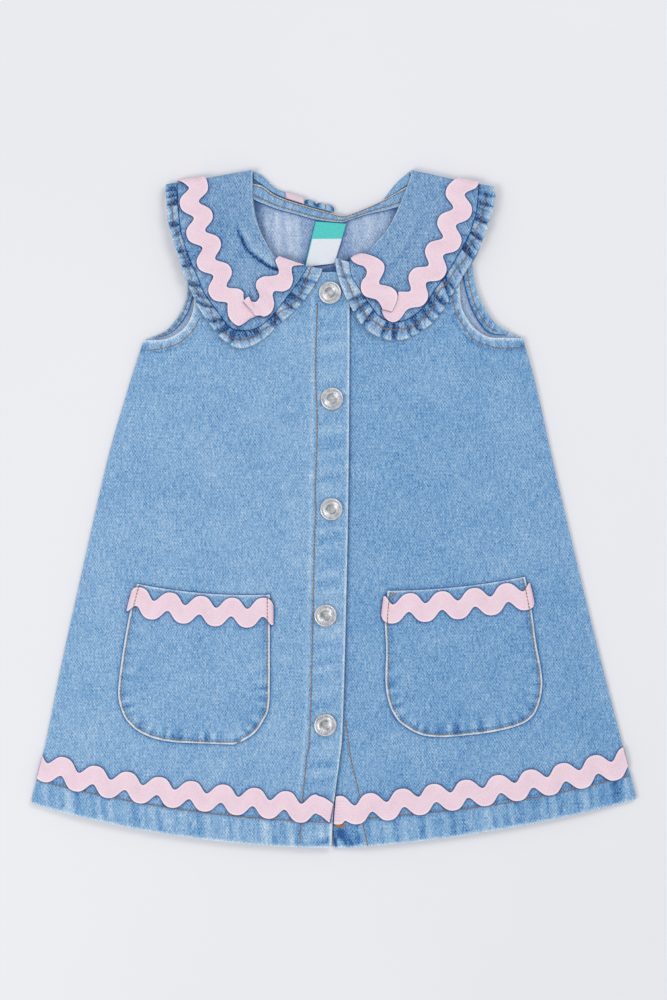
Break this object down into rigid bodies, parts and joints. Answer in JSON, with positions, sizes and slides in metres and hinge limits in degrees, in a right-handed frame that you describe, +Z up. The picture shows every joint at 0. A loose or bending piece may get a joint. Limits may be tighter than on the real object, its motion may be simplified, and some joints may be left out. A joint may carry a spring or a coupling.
{
  "type": "denim dress",
  "caption": "Child's sleeveless denim dress laid flat, buttoned down the front, with a wide ruffled collar, patch pockets and pink zigzag braid.",
  "frame": {"origin": "on the surface the dress lies on, under the middle of its bounding box", "axes": "+X across the dress to the right as seen from above, +Y from the hem to the neck, +Z up from the surface it lies on"},
  "size_m": [0.395, 0.4416, 0.0098],
  "materials": {
    "denim": "light stone-washed twill, worn pale along edges and seams",
    "denim_inside": "pale inside face of the twill",
    "braid": "pale pink woven zigzag braid",
    "label": "smooth white satin label with a plain teal band, no print",
    "button_metal": "silver-coloured pressed metal with plain rings"
  },
  "bodies": {
    "root": {"back_panel": "denim", "front_left": "denim", "front_right": "denim", "neck_band": "denim", "neck_label": "label", "armhole_facing_left": "denim_inside", "armhole_facing_right": "denim_inside", "collar_left": "denim", "collar_right": "denim", "collar_roll_left": "denim", "collar_roll_right": "denim", "ruffle_left": "denim", "ruffle_right": "denim", "ruffle_end_left": "denim", "pocket_left": "denim", "pocket_right": "denim", "ricrac_hem_left": "braid", "ricrac_hem_right": "braid", "ricrac_pocket_left": "braid", "ricrac_pocket_right": "braid", "ricrac_collar_left_side": "braid", "ricrac_collar_left_front": "braid", "ricrac_collar_right_side": "braid", "ricrac_collar_right_front": "braid", "ricrac_neck_left": "braid", "button_1": "button_metal", "button_2": "button_metal", "button_3": "button_metal", "button_4": "button_metal", "button_5": "button_metal"}
  },
  "joints": []
}
